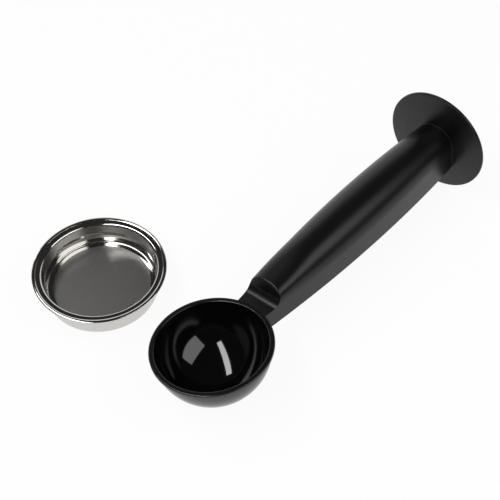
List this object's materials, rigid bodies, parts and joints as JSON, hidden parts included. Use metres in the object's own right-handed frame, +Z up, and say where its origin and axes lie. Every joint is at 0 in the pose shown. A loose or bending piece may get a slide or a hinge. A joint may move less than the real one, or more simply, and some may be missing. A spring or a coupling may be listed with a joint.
{
  "type": "coffee scoop with tamper and portafilter basket",
  "caption": "Black coffee scoop whose handle ends in a flat tamping disc, with a shallow perforated steel filter basket for a portafilter standing beside it.",
  "frame": {"origin": "middle of the set's box, on the surface that the set stands on", "axes": "+X along the handle from the bowl to the tamping disc, +Y from the scoop towards the basket, +Z up"},
  "size_m": [0.1838, 0.1274, 0.051],
  "materials": {
    "bowl_plastic": "polished black moulding",
    "handle_plastic": "satin black moulding",
    "disc_plastic": "satin black moulding",
    "cup_steel": "polished stainless sheet",
    "liner_steel": "polished stainless sheet, finely perforated floor"
  },
  "bodies": {
    "scoop": {"scoop_bowl": "bowl_plastic", "handle_shell": "handle_plastic", "tamper_disc": "disc_plastic"},
    "basket": {"basket_cup": "cup_steel", "basket_liner": "liner_steel"}
  },
  "joints": [
    {"name": "basket_lift", "type": "slide", "parent": "scoop", "child": "basket", "axis": [0, 0, 1], "range_m": [0, 0.06]}
  ]
}
